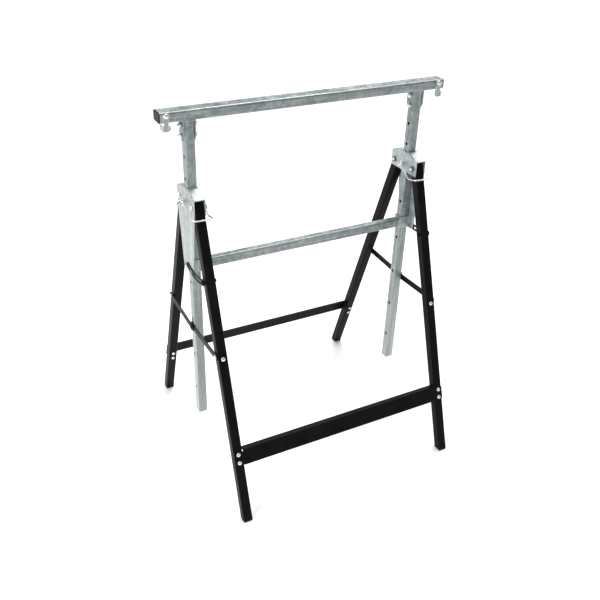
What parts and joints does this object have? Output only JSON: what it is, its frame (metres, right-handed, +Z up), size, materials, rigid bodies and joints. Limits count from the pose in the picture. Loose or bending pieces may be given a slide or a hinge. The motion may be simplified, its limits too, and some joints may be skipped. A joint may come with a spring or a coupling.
{
  "type": "folding sawhorse",
  "caption": "Folding metal sawhorse: a height-adjustable beam on two drilled posts, pinned in a centre frame that stands on fold-out black legs.",
  "frame": {"origin": "on the floor, midway between the four feet and under the middle of the beam", "axes": "+X along the beam to the right, +Y to the rear, +Z up"},
  "size_m": [0.69, 0.5798, 0.9],
  "materials": {
    "galvanised": "galvanised sheet steel with a faint spangle",
    "zinc": "bright zinc-plated steel",
    "black_paint": "satin black powder coat on steel",
    "black_plastic": "moulded black plastic"
  },
  "bodies": {
    "centre_frame": {"head_bracket_left": "galvanised", "head_bracket_right": "galvanised", "guide_collar_left": "galvanised", "guide_collar_right": "galvanised", "slotted_link_left": "black_paint", "slotted_link_right": "black_paint", "link_rivets": "black_paint", "collar_rivets": "zinc", "cross_bar": "galvanised", "leg_pivot_bolts": "zinc", "leg_pivot_nuts": "zinc"},
    "lift_frame": {"beam": "galvanised", "beam_end_cap_left": "black_plastic", "beam_end_cap_right": "black_plastic", "post_left": "galvanised", "post_right": "galvanised", "post_bracket_left": "galvanised", "post_bracket_right": "galvanised", "bracket_bolts": "zinc", "bracket_nuts": "zinc", "stop_bolts": "zinc", "stop_nuts": "zinc"},
    "beam_stop_left": {"beam_stop_left": "galvanised"},
    "beam_stop_right": {"beam_stop_right": "galvanised"},
    "front_legs": {"front_leg_left": "black_paint", "front_leg_right": "black_paint", "foot_front_left": "black_plastic", "foot_front_right": "black_plastic", "front_bar": "black_paint", "front_bar_bolts": "zinc", "front_bar_nuts": "zinc", "slot_bolts": "black_paint", "slot_nuts": "black_paint", "front_stay_rivets": "zinc", "leg_screws": "zinc"},
    "rear_legs": {"rear_leg_left": "black_paint", "rear_leg_right": "black_paint", "foot_rear_left": "black_plastic", "foot_rear_right": "black_plastic", "rear_bar": "black_paint", "rear_bar_bolts": "zinc", "rear_bar_nuts": "zinc", "rear_stay_rivets": "zinc"},
    "stay_front_left": {"stay_front_left": "black_paint"},
    "stay_front_right": {"stay_front_right": "black_paint"},
    "stay_rear_left": {"stay_rear_left": "black_paint", "stay_mid_rivet_left": "black_paint"},
    "stay_rear_right": {"stay_rear_right": "black_paint", "stay_mid_rivet_right": "black_paint"},
    "lock_pin_left": {"lock_pin_left": "zinc"},
    "lock_pin_right": {"lock_pin_right": "zinc"},
    "lock_bail_left": {"lock_bail_left": "zinc"},
    "lock_bail_right": {"lock_bail_right": "zinc"}
  },
  "joints": [
    {"name": "front_fold", "type": "hinge", "parent": "centre_frame", "child": "front_legs", "pos_m": [0, -0.0381, 0.698], "axis": [1, 0, 0], "range_deg": [0, 19.1]},
    {"name": "rear_fold", "type": "hinge", "parent": "centre_frame", "child": "rear_legs", "pos_m": [0, 0.0381, 0.698], "axis": [1, 0, 0], "range_deg": [-19.1, 0]},
    {"name": "lift", "type": "slide", "parent": "centre_frame", "child": "lift_frame", "axis": [0, 0, 1], "range_m": [-0.1, 0.5]},
    {"name": "stay_front_left", "type": "hinge", "parent": "front_legs", "child": "stay_front_left", "pos_m": [-0.293, -0.1465, 0.385], "axis": [1, 0, 0], "range_deg": [0, 58.18]},
    {"name": "stay_rear_left", "type": "hinge", "parent": "rear_legs", "child": "stay_rear_left", "pos_m": [-0.2954, 0.1465, 0.385], "axis": [1, 0, 0], "range_deg": [-58.18, 0]},
    {"name": "pin_pull_left", "type": "slide", "parent": "centre_frame", "child": "lock_pin_left", "axis": [-1, 0, 0], "range_m": [0, 0.042]},
    {"name": "bail_lift_left", "type": "hinge", "parent": "centre_frame", "child": "lock_bail_left", "pos_m": [-0.2804, 0, 0.6985], "axis": [1, 0, 0], "range_deg": [-70, 0]},
    {"name": "stop_flip_left", "type": "hinge", "parent": "lift_frame", "child": "beam_stop_left", "pos_m": [-0.33, -0.0183, 0.893], "axis": [0, 1, 0], "range_deg": [0, 180]},
    {"name": "stay_front_right", "type": "hinge", "parent": "front_legs", "child": "stay_front_right", "pos_m": [0.293, -0.1465, 0.385], "axis": [1, 0, 0], "range_deg": [0, 58.18]},
    {"name": "stay_rear_right", "type": "hinge", "parent": "rear_legs", "child": "stay_rear_right", "pos_m": [0.2954, 0.1465, 0.385], "axis": [1, 0, 0], "range_deg": [-58.18, 0]},
    {"name": "pin_pull_right", "type": "slide", "parent": "centre_frame", "child": "lock_pin_right", "axis": [1, 0, 0], "range_m": [0, 0.042]},
    {"name": "bail_lift_right", "type": "hinge", "parent": "centre_frame", "child": "lock_bail_right", "pos_m": [0.2804, 0, 0.6985], "axis": [1, 0, 0], "range_deg": [-70, 0]},
    {"name": "stop_flip_right", "type": "hinge", "parent": "lift_frame", "child": "beam_stop_right", "pos_m": [0.33, -0.0183, 0.893], "axis": [0, -1, 0], "range_deg": [0, 180]}
  ],
  "couplings": [
    {"joint": "rear_fold", "follows": "front_fold", "ratio": -1},
    {"joint": "stay_front_left", "follows": "front_fold", "ratio": 3.046},
    {"joint": "stay_rear_left", "follows": "front_fold", "ratio": -3.046},
    {"joint": "stay_front_right", "follows": "front_fold", "ratio": 3.046},
    {"joint": "stay_rear_right", "follows": "front_fold", "ratio": -3.046}
  ]
}
